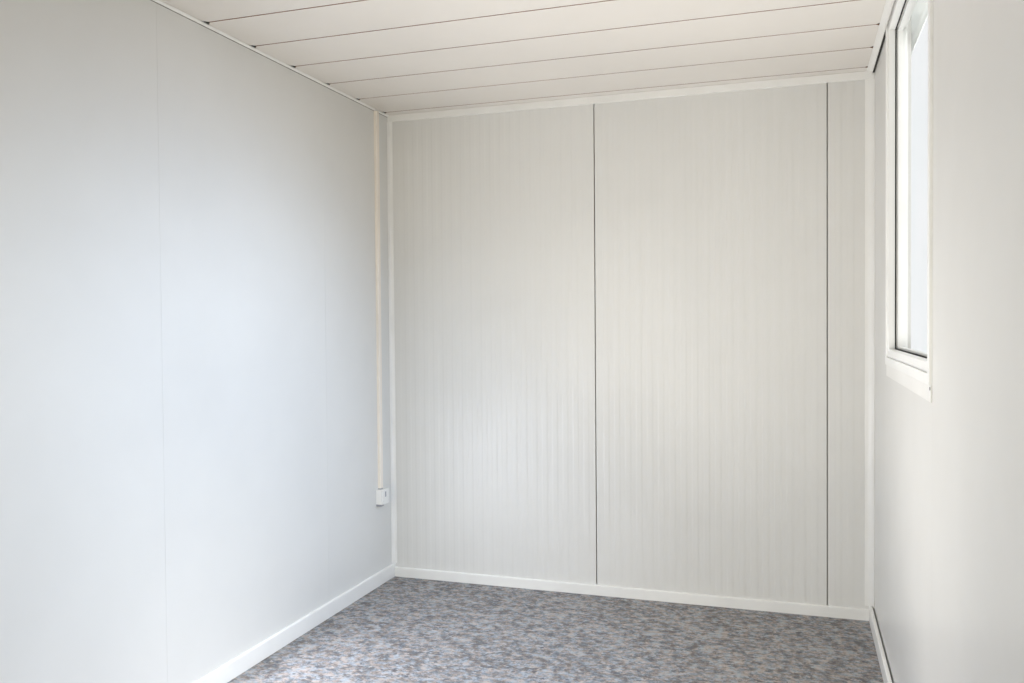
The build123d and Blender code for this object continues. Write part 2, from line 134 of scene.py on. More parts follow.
class CabinLiningSettings(bpy.types.PropertyGroup):
    rib_pitch: length_of(
        "Rib pitch", "Distance between the fine ribs of the end wall linings", 0.05, 0.01)
    rib_depth: length_of(
        "Rib depth", "How far a fine rib stands out of the lining", 0.00085, 0.0002)
    rib_flank: length_of(
        "Rib flank", "Width of a fine rib's sloped side", 0.007, 0.0005)


class CabinEdgeSettings(bpy.types.PropertyGroup):
    casting: length_of(
        "Casting edges", "Edge radius of the cast corner fittings", 0.005, 0.0005)
    folded_steel: length_of(
        "Folded steel edges", "Edge radius of the folded steel rails and posts", 0.0015, 0.0002)
    plastic: length_of(
        "Plastic edges", "Edge radius of the plastic frame bars and trims", 0.0015, 0.0002)
    segments: IntProperty(
        name="Edge segments", description="Steps in each rounded edge", default=2, min=1, max=6)


class CabinColourSettings(bpy.types.PropertyGroup):
    wall: colour_of("Wall skins", "Lacquered steel skins of the wall panels", "DFDEDA")
    ceiling: colour_of("Ceiling strips", "Lacquered steel strips of the ceiling", "E4DFD8")
    joint: colour_of("Ceiling joints", "Primer and dust in the ceiling joints", "96705A")
    steel_frame: colour_of("Steel frame", "Satin paint on the frame", "D3D6D4")
    door: colour_of("Door", "Satin paint on the door", "D3D6D3")
    plastic: colour_of("White plastic", "Trims, apron and socket", "F0EFEB")
    floor_ground: colour_of("Floor ground", "Middle tone of the vinyl floor", "949391")
    floor_light: colour_of("Floor light flecks", "Light flecks of the vinyl floor", "B9B8B6")
    floor_dark: colour_of("Floor dark flecks", "Dark flecks of the vinyl floor", "5F5F62")
    zinc: colour_of("Galvanised steel", "Zinc on the roof sheet, bows and joists", "B7BBBD")
    rubber: colour_of("Rubber", "Window gasket and door seal", "0E0E0E")


class CabinStageSettings(bpy.types.PropertyGroup):
    ground: colour_of("Ground", "Plain pale floor that the cabin stands on", "E6E6E4")
    sky_strength: strength_of("Sky strength", "Even light from all round", 0.66)
    sun_strength: strength_of("Sun strength", "Soft light from one side", 1.26)
    room_strength: strength_of(
        "Room strength", "Power of the large lamp inside the room, in watts", 24.2)
    side_strength: strength_of(
        "Side strength", "Power of the low lamp by the left wall, in watts", 13.9)
    window_strength: strength_of(
        "Window strength", "Power of the lamp inside the window, in watts", 120.0)
    fill_strength: strength_of(
        "Fill strength", "Power of the overhead and floor lamps, in watts", 17.8)


# Mesh helpers


def piece_from(bm, name, finish, stands_for=()):
    """Turns a bmesh into a named piece that rides on the cabin."""
    mesh = bpy.data.meshes.new(name)
    bm.to_mesh(mesh)
    bm.free()
    piece = bpy.data.objects.new(name, mesh)
    bpy.context.scene.collection.objects.link(piece)
    mesh.materials.append(FINISHES[finish])
    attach(piece, "root")
    if stands_for:
        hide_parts(*stands_for)
    return piece


def shade_by_angle(piece, degrees=50, level_faces=True):
    """Smooth shading, apart from edges sharper than the angle, with large faces kept level."""
    piece.data.shade_smooth()
    piece.data.set_sharp_from_angle(angle=math.radians(degrees))
    if level_faces:
        level = piece.modifiers.new("level_faces", "WEIGHTED_NORMAL")
        level.mode = "FACE_AREA"
        level.keep_sharp = True


def merged_copy(node):
    """A bmesh of a CAD node's mesh, with its loose triangles joined into flat faces."""
    bm = bmesh.new()
    bm.from_mesh(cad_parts[node].data)
    bmesh.ops.remove_doubles(bm, verts=bm.verts, dist=1e-5)
    bmesh.ops.dissolve_limit(
        bm, angle_limit=math.radians(0.5), verts=bm.verts, edges=bm.edges,
        use_dissolve_boundaries=False)
    return bm


def bevel(bm, edges, radius, segments, clamp=False):
    """Bevels edges to a round, or to a flat cut where there is one segment."""
    return bmesh.ops.bevel(
        bm, geom=list(edges), offset=radius, offset_type="OFFSET", segments=segments,
        profile=0.5, affect="EDGES", clamp_overlap=clamp, material=-1)


def round_edges(bm, radius, segments, sharper_than=40):
    """Rounds the outer edges that turn by more than the angle."""
    sharp = [
        e for e in bm.edges
        if len(e.link_faces) == 2 and e.calc_face_angle_signed(0.0) > math.radians(sharper_than)
    ]
    bevel(bm, sharp, radius, segments, clamp=True)


def rounded_node(node, name, radius, finish):
    """A piece that stands for a CAD node, with the node's shape and rounded edges."""
    edges = bpy.context.scene.cabin_edges
    bm = merged_copy(node)
    round_edges(bm, radius, edges.segments)
    piece = piece_from(bm, name, finish, [node])
    shade_by_angle(piece)
    return piece


def add_block(bm, low, high, radius=0.0, segments=2):
    """Adds a block between two corners, with its edges rounded, and returns its edges."""
    low, high = Vector(low), Vector(high)
    made = bmesh.ops.create_cube(bm, size=1.0)
    place = Matrix.Translation((low + high) / 2) @ Matrix.Diagonal((*(high - low), 1.0))
    bmesh.ops.transform(bm, matrix=place, verts=made["verts"])
    edges = {e for v in made["verts"] for e in v.link_edges}
    if radius:
        bevel(bm, edges, radius, segments, clamp=True)
    return edges


def block_piece(name, finish, blocks, stands_for=()):
    """A piece made of blocks, each given as add_block takes it."""
    bm = bmesh.new()
    for block in blocks:
        add_block(bm, *block)
    return piece_from(bm, name, finish, stands_for)


def add_bar(bm, section, along, start, stop):
    """Adds a bar: a section of points, carried from start to stop along X, Y or Z.

    The section's points are in the two other axes, in their order.
    """
    axis = "XYZ".index(along)
    others = [i for i in range(3) if i != axis]
    corners = []
    for u, v in section:
        point = [0.0, 0.0, 0.0]
        point[axis], point[others[0]], point[others[1]] = start, u, v
        corners.append(bm.verts.new(point))
    face = bm.faces.new(corners)
    made = bmesh.ops.extrude_face_region(bm, geom=[face])
    ends = [g for g in made["geom"] if isinstance(g, bmesh.types.BMVert)]
    shift = Vector((0, 0, 0))
    shift[axis] = stop - start
    bmesh.ops.translate(bm, vec=shift, verts=ends)
    bmesh.ops.recalc_face_normals(bm, faces=bm.faces)


def in_mm(*points):
    """Points given in millimetres."""
    return [(u * MM, v * MM) for u, v in points]


def add_turned(bm, outline, centre, direction, steps=20):
    """Adds a turned part: an outline of (radius, distance) points spun round a line."""
    turn = Vector((0, 0, 1)).rotation_difference(Vector(direction)).to_matrix()
    points = [bm.verts.new(Vector(centre) + turn @ Vector((r, 0, h))) for r, h in outline]
    edges = [bm.edges.new(pair) for pair in zip(points, points[1:])]
    bmesh.ops.spin(
        bm, geom=points + edges, cent=centre, axis=direction, angle=math.tau, steps=steps,
        use_merge=True)
    bmesh.ops.remove_doubles(bm, verts=bm.verts, dist=1e-6)
    bmesh.ops.recalc_face_normals(bm, faces=bm.faces)


# Finishes


def fill(tree, node, **sockets):
    """Sets or links a node's inputs, by their name or, as n0 or n1, by their number.

    A node given as a value is linked by its first output.
    """
    for name, value in sockets.items():
        key = int(name[1:]) if name[0] == "n" and name[1:].isdigit() else name.replace("_", " ")
        if isinstance(value, bpy.types.Node):
            value = value.outputs[0]
        if isinstance(value, bpy.types.NodeSocket):
            tree.links.new(value, node.inputs[key])
        else:
            node.inputs[key].default_value = value


def add(tree, kind, settings=None, **sockets):
    """Adds a shader node with its settings, its socket values and its links.

    Its kind is Blender's name for it without the words ShaderNode, and the setting "stops"
    holds the places and colours of a colour ramp's two stops.
    """
    node = tree.nodes.new("ShaderNode" + kind)
    for name, value in (settings or {}).items():
        if name == "stops":
            for stop, (place, colour) in zip(node.color_ramp.elements, value):
                stop.position, stop.color = place, opaque(colour)
        else:
            setattr(node, name, value)
    fill(tree, node, **sockets)
    return node


def new_finish(name):
    """A new material with its tree, its shader and its object coordinates."""
    material = bpy.data.materials.new(name)
    material.use_nodes = True
    tree = material.node_tree
    shader = tree.nodes["Principled BSDF"]
    place = tree.nodes.new("ShaderNodeTexCoord").outputs["Object"]
    return material, tree, shader, place


def shade_of(colour, share):
    return tuple(c * share for c in colour[:3])


def blotches(tree, place, size, low, high, start, stop, detail=3.0, roughness=0.5):
    """Soft blotches about the given size in metres, from one colour to another."""
    cloud = add(
        tree, "TexNoise", Vector=place, Scale=0.5 / size, Detail=detail,
        Roughness=roughness)
    return add(tree, "ValToRGB", {"stops": ((start, low), (stop, high))}, Fac=cloud)


def veiled(tree, tone, *blotch, **look):
    """A tone multiplied by blotches, as dust or wear dulls it."""
    return add(
        tree, "Mix", {"data_type": "RGBA", "blend_type": "MULTIPLY"}, n0=1.0, n6=tone,
        n7=blotches(tree, *blotch, **look)).outputs[2]


def flecked(tree, tone, place, size, colour, start, stop, **look):
    """A tone with flecks of a colour, about the given size in metres, laid over it."""
    share = blotches(tree, place, size, (0, 0, 0), (1, 1, 1), start, stop, **look)
    return add(tree, "Mix", {"data_type": "RGBA"}, n0=share, n6=tone, n7=opaque(colour)).outputs[2]


def vary_gloss(tree, shader, place, size, low, high, detail=3.0):
    """Lets the roughness wander between two values, in patches of the given size."""
    cloud = add(tree, "TexNoise", Vector=place, Scale=0.5 / size, Detail=detail)
    gloss = add(tree, "MapRange", Value=cloud, n3=low, n4=high)
    fill(tree, shader, Roughness=gloss)


def add_relief(tree, shader, place, *layers):
    """Lays fine reliefs over each other: each has its size and depth in metres, and detail."""
    normal = {}
    for size, depth, detail in layers:
        cloud = add(tree, "TexNoise", Vector=place, Scale=0.5 / size, Detail=detail)
        relief = add(tree, "Bump", Strength=1.0, Distance=depth, Height=cloud, **normal)
        normal = {"Normal": relief}
    fill(tree, shader, **normal)


def drawn_lines(tree, place, along, stretch, size, detail, roughness=0.5):
    """Fine lines that run along X, Y or Z, at about the given distance in metres."""
    scale = [1.0, 1.0, 1.0]
    scale["XYZ".index(along)] = stretch
    drawn = add(tree, "Mapping", Vector=place, Scale=scale)
    return add(tree, "TexNoise", Vector=drawn, Scale=0.5 / size, Detail=detail, Roughness=roughness)


def lacquered_steel(
    name, colour, grain, grain_height, roughness, grime=0.06, streaks=0.0, spread=0.06,
):
    """Coil coated steel sheet: an even satin film with a fine leather grain, a slight
    waviness of the thin sheet, and a little dust that dulls it in patches."""
    material, tree, shader, place = new_finish(name)
    tone = blotches(tree, place, 0.45, shade_of(colour, 1.0 - grime), colour, 0.30, 0.62, 4.0, 0.6)
    if streaks:
        # Rain carries dust down the sheet in narrow upright marks, about 40 mm apart.
        upright = add(tree, "Mapping", Vector=place, Scale=(1.0, 1.0, 0.06))
        tone = veiled(
            tree, tone, upright, 0.04, (1, 1, 1), (1.0 - streaks,) * 3, 0.52,
            0.80, roughness=0.6)
    fill(tree, shader, Base_Color=tone)
    vary_gloss(tree, shader, place, 0.12, roughness - spread, roughness + spread, 5.0)
    add_relief(tree, shader, place, (0.22, 0.0012, 1.0), (grain, grain_height, 2.0))
    return material


def painted_frame_steel(name, colour):
    """Brushed and sprayed two part paint on folded steel: satin, with a light orange peel,
    dust on the faces, grime low down and small chips that show the dark primer."""
    material, tree, shader, place = new_finish(name)
    tone = blotches(tree, place, 0.30, shade_of(colour, 0.90), colour, 0.30, 0.60, 5.0, 0.65)
    height = add(tree, "SeparateXYZ", Vector=place).outputs["Z"]
    low = add(
        tree, "MapRange", {"interpolation_type": "SMOOTHSTEP"},
        Value=height, n1=0.0, n2=0.35, n3=0.55, n4=0.0)
    cloud = add(tree, "TexNoise", Vector=place, Scale=0.5 / 0.05, Detail=6.0, Roughness=0.7)
    splash = add(tree, "Math", {"operation": "MULTIPLY"}, n0=low, n1=cloud)
    tone = add(
        tree, "Mix", {"data_type": "RGBA"}, n0=splash, n6=tone,
        n7=opaque(linear("8E877B"))).outputs[2]
    tone = flecked(
        tree, tone, place, 0.014, linear("7B6A5C"), 0.735, 0.75, detail=4.0, roughness=0.65)
    fill(tree, shader, Base_Color=tone)
    vary_gloss(tree, shader, place, 0.08, 0.34, 0.56, 4.0)
    add_relief(tree, shader, place, (0.0035, 0.00012, 2.0))
    return material


def white_pvc(name, colour, roughness=0.30):
    """Extruded rigid PVC: a smooth, slightly glossy skin with faint draw lines and a
    little dust that greys it unevenly."""
    material, tree, shader, place = new_finish(name)
    tone = blotches(tree, place, 0.10, shade_of(colour, 0.94), colour, 0.30, 0.60, 4.0)
    fill(tree, shader, Base_Color=tone, IOR=1.53)
    vary_gloss(tree, shader, place, 0.05, roughness - 0.04, roughness + 0.08)
    add_relief(tree, shader, place, (0.006, 0.00006, 2.0))
    return material


def flecked_vinyl(name, ground, light, dark):
    """Sheet vinyl with a felt look: light and dark flecks, 5 to 20 mm long and a little
    drawn out across the cabin, over a soft mottle with a few warm and cool threads, under
    a matt wear layer with a fine grain."""
    material, tree, shader, place = new_finish(name)
    drawn = add(tree, "Mapping", Vector=place, Scale=(0.85, 1.0, 1.0))
    tone = blotches(
        tree, drawn, 0.017, shade_of(ground, 0.44), shade_of(ground, 1.48), 0.40, 0.60, 6.0, 0.78)
    for scale, size, colour in (
        ((0.70, 0.95, 1.0), 0.010, light), ((0.62, 0.90, 1.3), 0.012, dark),
    ):
        scaled = add(tree, "Mapping", Vector=place, Scale=scale)
        tone = flecked(tree, tone, scaled, size, colour, 0.54, 0.64, detail=4.0, roughness=0.75)
    tone = veiled(tree, tone, drawn, 0.011, linear("FFEFE6"), linear("E9F3FF"), 0.42, 0.58)
    fill(tree, shader, Base_Color=tone, Roughness=0.62, IOR=1.50)
    add_relief(tree, shader, place, (0.003, 0.0002, 2.0))
    return material


def galvanised_steel(name, colour):
    """Hot dip galvanised sheet: grey zinc with crystals about 12 mm across that differ
    a little in tone and gloss."""
    material, tree, shader, place = new_finish(name)
    crystals = add(tree, "TexVoronoi", Vector=place, Scale=1 / 0.012)
    grey = add(tree, "RGBToBW", Color=crystals.outputs["Color"])
    tone = add(
        tree, "ValToRGB", {"stops": ((0.25, shade_of(colour, 0.82)), (0.75, colour))},
        Fac=grey)
    tone = veiled(tree, tone, place, 0.25, (0.84, 0.84, 0.83), (1, 1, 1), 0.35, 0.60, 5.0, 0.65)
    gloss = add(tree, "MapRange", Value=grey, n3=0.50, n4=0.64)
    fill(tree, shader, Base_Color=tone, Roughness=gloss, Metallic=0.45)
    return material


def sawn_wood(name, colour, along):
    """Sawn softwood: pale, with long grain lines about 6 mm apart and darker late wood."""
    material, tree, shader, place = new_finish(name)
    lines = drawn_lines(tree, place, along, 0.04, 0.006, 5.0, 0.6)
    tone = add(
        tree, "ValToRGB", {"stops": ((0.35, shade_of(colour, 0.62)), (0.60, colour))},
        Fac=lines)
    grain = add(tree, "Bump", Strength=1.0, Distance=0.0004, Height=lines)
    fill(tree, shader, Base_Color=tone, Roughness=0.75, Normal=grain)
    return material


def moulded_rubber(name, colour):
    """Extruded EPDM: black and matt, with a fine bloom that greys it in places."""
    material, tree, shader, place = new_finish(name)
    tone = blotches(tree, place, 0.02, colour, shade_of(colour, 1.7), 0.40, 0.75, 4.0)
    fill(tree, shader, Base_Color=tone, Roughness=0.80)
    return material


def float_glass(name):
    """Clear float glass: it lets almost all light through, mirrors more at a flat angle,
    and carries a thin uneven film of dust."""
    material, tree, shader, place = new_finish(name)
    fill(tree, shader, Base_Color=opaque(linear("F4FAF8")), Metallic=1.0, Roughness=0.02)
    film = blotches(tree, place, 0.15, linear("FFFFFF"), linear("FDFEFE"), 0.40, 0.75, 5.0, 0.65)
    clear = add(tree, "BsdfTransparent", Color=film)
    angle = add(tree, "LayerWeight", Blend=0.5).outputs["Facing"]
    share = add(
        tree, "MapRange", {"interpolation_type": "SMOOTHSTEP"}, Value=angle,
        n1=0.35, n2=1.0, n3=0.010, n4=0.030)
    mixed = add(tree, "MixShader", Fac=share, n1=clear, n2=shader)
    fill(tree, tree.nodes["Material Output"], Surface=mixed)
    return material


def brushed_metal(name, colour, roughness, along):
    """Brushed or drawn metal: fine lines along the part that spread the highlights."""
    material, tree, shader, place = new_finish(name)
    lines = drawn_lines(tree, place, along, 0.03, 0.0012, 3.0)
    tone = add(
        tree, "ValToRGB", {"stops": ((0.30, shade_of(colour, 0.86)), (0.65, colour))},
        Fac=lines)
    gloss = add(tree, "MapRange", Value=lines, n3=roughness - 0.05, n4=roughness + 0.10)
    fill(tree, shader, Base_Color=tone, Roughness=gloss, Metallic=1.0)
    return material


# The even pale colour beyond the ground, which fades into it between these distances.
BACKDROP = "F8FAFC"
FADE_START, FADE_END = 5.5, 26.0


def ground_paint(name, colour):
    """Plain pale ground, nearly matt, that far from the cabin fades into the backdrop."""
    material, tree, shader, place = new_finish(name)
    tone = blotches(tree, place, 1.2, shade_of(colour, 0.985), colour, 0.35, 0.65)
    fill(tree, shader, Base_Color=tone, Roughness=0.85)
    away = add(tree, "VectorMath", {"operation": "LENGTH"}, n0=place).outputs["Value"]
    fade = add(
        tree, "MapRange", {"interpolation_type": "SMOOTHSTEP"}, Value=away,
        n1=FADE_START, n2=FADE_END, n3=0.0, n4=1.0)
    seen = add(tree, "LightPath").outputs["Is Camera Ray"]
    share = add(tree, "Math", {"operation": "MULTIPLY"}, n0=fade, n1=seen)
    backdrop = add(tree, "Emission", Color=opaque(linear(BACKDROP)), Strength=1.0)
    mixed = add(tree, "MixShader", Fac=share, n1=shader, n2=backdrop)
    fill(tree, tree.nodes["Material Output"], Surface=mixed)
    return material


FINISHES = {}


def make_finishes():
    """All finishes of the cabin, by the name used in this file."""
    c = bpy.context.scene.cabin_colours
    FINISHES.update({
        # Polyester on steel, rolled smooth: the walls are satin and faintly mottled.
        "wall": lacquered_steel("Wall_skin_polyester_lacquer", c.wall, 0.004, 0.00010, 0.33),
        # The ribbed linings have a finer grain, so each rib's flank catches the light.
        "lining": lacquered_steel(
            "Ribbed_lining_polyester_lacquer", c.wall, 0.004, 0.00006, 0.32, spread=0.03),
        "ceiling": lacquered_steel(
            "Ceiling_strip_polyester_lacquer", c.ceiling, 0.004, 0.00012, 0.36, grime=0.07),
        # Brown primer seen in the joints between the strips.
        "joint": lacquered_steel(
            "Ceiling_joint_primer", c.joint, 0.004, 0.0001, 0.70, grime=0.35),
        "frame": painted_frame_steel("Frame_steel_satin_paint", c.steel_frame),
        "door": lacquered_steel(
            "Door_steel_satin_paint", c.door, 0.0035, 0.0001, 0.40, grime=0.07, streaks=0.03),
        "plastic": white_pvc("White_rigid_PVC", c.plastic),
        # The window's bars take a whiter copy of the white plastic, painted light for the daylight
        # on them.
        "window_plastic": white_pvc("Window_white_rigid_PVC", linear("F5F5F2"), 0.33),
        # The trunking has yellowed a little beside the trims.
        "cream": white_pvc("Cream_rigid_PVC", linear("F5EDE1")),
        # A dull mid grey for painted shade in the socket's recess and seam and on its top, and for
        # its painted shadow below.
        "socket_shade": white_pvc("Socket_painted_shade_grey", linear("A2A3A9")),
        "floor": flecked_vinyl(
            "Flecked_sheet_vinyl", c.floor_ground, c.floor_light, c.floor_dark),
        "zinc": galvanised_steel("Galvanised_sheet", c.zinc),
        "wood": sawn_wood("Sawn_softwood", linear("C9AA7E"), "Y"),
        "board": sawn_wood("Floor_board_plywood", linear("B08F63"), "X"),
        "rubber": moulded_rubber("EPDM_rubber", c.rubber),
        "glass": float_glass("Clear_float_glass"),
        "aluminium": brushed_metal("Brushed_aluminium", linear("C8CACC"), 0.34, "Z"),
        "sill_metal": brushed_metal("Drawn_aluminium_sill", linear("C2C4C6"), 0.38, "Y"),
        "screw": brushed_metal("Zinc_plated_screw", linear("B4B6B8"), 0.42, "Z"),
        "dark": moulded_rubber("Dark_hollow_shade", linear("0C0C0C")),
        # The bead along the left wall leaves a narrow shaded gap.
        "shade": moulded_rubber("Narrow_gap_shade", linear("807C74")),
        # A near-black painted shade stands in the open slots along the ceiling and behind the
        # strips' cut corners.
        "painted_slot_shade": moulded_rubber("Painted_slot_shade", linear("2A2927")),
    })


def dress(node, finish):
    """Gives a CAD node that stays in view one of the finishes."""
    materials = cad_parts[node].data.materials
    materials.clear()
    materials.append(FINISHES[finish])


# Steel frame, base and underside

FITTING_TALL = 118 * MM
WELD_RADIUS = 2.8 * MM
WELD_PITCH = 6.5 * MM
# How far a bead runs from a fitting along the rails.
WELD_REACH = 150 * MM
# The upright beads stay this far above the cabin's underside and below its top.
WELD_CLEAR = (20 * MM, 6 * MM)
# The cabin's four corners, as the signs of x and y.
CORNERS = ((-1, -1), (-1, 1), (1, -1), (1, 1))


def add_weld(bm, start, stop):
    """Adds a weld bead: overlapping drops of metal between two points."""
    start, stop = Vector(start), Vector(stop)
    count = int((stop - start).length / WELD_PITCH)
    for n in range(count + 1):
        made = bmesh.ops.create_icosphere(bm, subdivisions=1, radius=WELD_RADIUS)
        bmesh.ops.translate(bm, vec=start.lerp(stop, n / count), verts=made["verts"])


class CABIN_OT_steel_frame(bpy.types.Operator):
    """Builds the corner fittings, posts and rails with rounded edges and weld beads."""

    bl_idname = "cabin.steel_frame"
    bl_label = "Steel frame"

    def execute(self, context):
        edges = context.scene.cabin_edges
        for node in ("corner_fittings_bottom", "corner_fittings_top"):
            rounded_node(node, node + "_cast", edges.casting, "frame")
        for node in (
            "corner_posts", "base_side_rails", "base_end_rails", "roof_side_rails",
            "roof_end_rails", "forklift_pockets",
        ):
            rounded_node(node, node + "_folded", edges.folded_steel, "frame")
        low, high = CAD_BOX
        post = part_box("corner_posts")[1]
        bm = bmesh.new()
        for z in (low.z + FITTING_TALL, high.z - FITTING_TALL):
            for sx, sy in CORNERS:
                x, y = sx * post.x, sy * post.y
                add_weld(bm, (x, y, z), (x, y - sy * WELD_REACH, z))
                add_weld(bm, (x, y, z), (x - sx * WELD_REACH, y, z))
        side_rail_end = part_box("base_side_rails")[1].y
        end_rail_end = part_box("base_end_rails")[1].x
        for box in (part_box("base_side_rails"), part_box("roof_side_rails")):
            foot = max(box[0].z, low.z + WELD_CLEAR[0])
            top = min(box[1].z, high.z - WELD_CLEAR[1])
            for sx, sy in CORNERS:
                for x, y in (
                    (sx * post.x, sy * side_rail_end), (sx * end_rail_end, sy * post.y),
                ):
                    add_weld(bm, (x, y, foot), (x, y, top))
        shade_by_angle(piece_from(bm, "frame_weld_beads", "frame"), 80)
        return {"FINISHED"}


class CABIN_OT_base(bpy.types.Operator):
    """Finishes the joists, deck, underside and floor covering."""

    bl_idname = "cabin.base"
    bl_label = "Base and floor"

    def execute(self, context):
        dress("floor_joists", "zinc")
        dress("floor_underside", "zinc")
        dress("floor_deck", "board")
        dress("floor_covering", "floor")
        return {"FINISHED"}


# Walls


def add_lining(bm, start, stop, wall, inward, settings):
    """Adds one ribbed lining sheet that stands on an end wall panel's inner face.

    Fine trapezoid ribs run upright at the set pitch, and the sheet's side edges turn back
    to the panel.
    """
    pitch, depth, flank = settings.rib_pitch, settings.rib_depth, settings.rib_flank
    half = pitch / 2
    base = 0.25 * MM
    count = int((stop - start) / pitch)
    margin = (stop - start - count * pitch) / 2
    section = [(start, 0.0), (start, base)]
    for n in range(count):
        x = start + margin + n * pitch
        section.append((x + (half - flank) / 2, base))
        section.append((x + (half + flank) / 2, base + depth))
        section.append((x + half + (half - flank) / 2, base + depth))
        section.append((x + half + (half + flank) / 2, base))
    section += [(stop, base), (stop, 0.0)]
    points = [(x, wall + inward * out) for x, out in section]
    add_bar(bm, points, "Z", FLOOR_Z, CEILING_Z)


class CABIN_OT_walls(bpy.types.Operator):
    """Finishes the wall panels and adds the ribbed linings of the two end walls."""

    bl_idname = "cabin.walls"
    bl_label = "Walls"

    def execute(self, context):
        for node in (
            "left_wall_panels", "back_wall_panels", "front_wall_panels",
            "right_wall_back_panel", "right_wall_window_panel", "right_wall_middle_panels",
            "right_wall_over_door_panel", "right_wall_front_panel",
        ):
            dress(node, "wall")
        settings = context.scene.cabin_lining
        half = END_JOINT_GAP / 2
        places = (LEFT_X, *END_JOINTS, RIGHT_X)
        for name, wall, inward in (
            ("back_wall_lining", BACK_Y, -1), ("front_wall_lining", FRONT_Y, 1),
        ):
            bm = bmesh.new()
            for n in range(3):
                start = places[n] + (half if n else 0.0)
                stop = places[n + 1] - (half if n < 2 else 0.0)
                add_lining(bm, start, stop, wall, inward, settings)
            # Each flank stays a narrow plane of its own, so a rib shows as two thin lines.
            lining = piece_from(bm, name, "lining")
            shade_by_angle(lining, degrees=4, level_faces=False)
        return {"FINISHED"}


# Roof and ceiling


class CABIN_OT_roof(bpy.types.Operator):
    """Finishes the roof and builds the ceiling strips with folded edges and their joints."""

    bl_idname = "cabin.roof"
    bl_label = "Roof and ceiling"

    def execute(self, context):
        dress("roof_bows", "zinc")
        dress("roof_sheet", "zinc")
        dress("ceiling_battens", "wood")
        low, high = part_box("ceiling_strips")
        joints = []
        y = BACK_Y - LAST_STRIP
        while y > FRONT_Y + STRIP_GAP:
            joints.append(y)
            y -= STRIP_PITCH
        places = [low.y] + joints[::-1] + [high.y]
        low.x = LEFT_X + STRIP_BEARING
        strips, tongues, hollows = bmesh.new(), bmesh.new(), bmesh.new()
        # The cut corners reach past the narrow and the wide trim, so that they show.
        notches = (
            SHOWN_NOTCHES[0] + BEAD_WIDTH - STRIP_BEARING, SHOWN_NOTCHES[1] + high.x - TRIM_EDGE_X)
        for n in range(len(places) - 1):
            y0 = places[n] + (STRIP_GAP / 2 if n else 0.0)
            y1 = places[n + 1] - (STRIP_GAP / 2 if n < len(places) - 2 else 0.0)
            self.add_strip(strips, (low.x, y0, low.z), (high.x, y1, high.z), notches)
            if n:
                y = places[n]
                foot, top = (low.z + level for level in TONGUE_LEVELS)
                add_block(tongues, (low.x, y - STRIP_GAP, foot), (high.x, y + STRIP_GAP, top))
                # Near-black blocks behind each cut corner: painted shade in the hollows there.
                foot, top = (low.z + level for level in HOLLOW_LEVELS)
                for x0, x1, shown in (
                    (low.x, low.x + notches[0], SHOWN_NOTCHES[0]),
                    (high.x - notches[1], high.x, SHOWN_NOTCHES[1]),
                ):
                    reach = shown * HOLLOW_REACH + STRIP_GAP / 2
                    add_block(hollows, (x0, y - reach, foot), (x1, y + reach, top))
        for face in strips.faces:
            if abs(face.normal.z) < 0.5:
                face.material_index = 1
        strip_piece = piece_from(
            strips, "ceiling_strips_folded", "ceiling", ["ceiling_strips"])
        strip_piece.data.materials.append(FINISHES["joint"])
        shade_by_angle(strip_piece)
        piece_from(tongues, "ceiling_joint_tongues", "joint")
        piece_from(hollows, "ceiling_joint_hollow_shades", "painted_slot_shade")
        return {"FINISHED"}

    def add_strip(self, bm, low, high, notches):
        """Adds one open topped strip with rounded folds and cut corners at its joints.

        The corners by the left wall and those by the right wall have their own notch.
        """
        edges = add_block(bm, low, high)
        first, last = (corner.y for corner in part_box("ceiling_strips"))
        upright = [
            e for e in edges
            if abs(e.verts[0].co.z - e.verts[1].co.z) > (high[2] - low[2]) / 2
            and first + MM < e.verts[0].co.y < last - MM
        ]
        middle = (low[0] + high[0]) / 2
        ends = (
            [e for e in upright if e.verts[0].co.x < middle],
            [e for e in upright if e.verts[0].co.x > middle],
        )
        for geom, notch in zip(ends, notches):
            cut = bevel(bm, geom, notch, 1)
        faces = {f for v in cut["verts"] for f in v.link_faces}
        bottom = [f for f in faces if f.normal.z < -0.9]
        top = [f for f in faces if f.normal.z > 0.9]
        rim = {e for f in bottom for e in f.edges}
        bmesh.ops.delete(bm, geom=top, context="FACES")
        bevel(bm, rim, FOLD_RADIUS, 3)


# Window

# Edge radii of the frame's and the sash's bars, as shares of the set plastic edge.
FRAME_BAR_EDGE, SASH_BAR_EDGE = 1.4, 1.8
# Edge radius of the thin apron and the rubber.
THIN_EDGE = 0.8 * MM
PANE_THICK = 4 * MM
PANE_EDGE = 0.5 * MM
SPACER_WIDE = 9 * MM
SPACER_INSET = 0.5 * MM
APRON_SCREW = in_mm((0, 0), (4.5, 0), (4.2, 0.8), (1.5, 0.5), (0, 0.4))
APRON_SCREW_INSET = 7 * MM


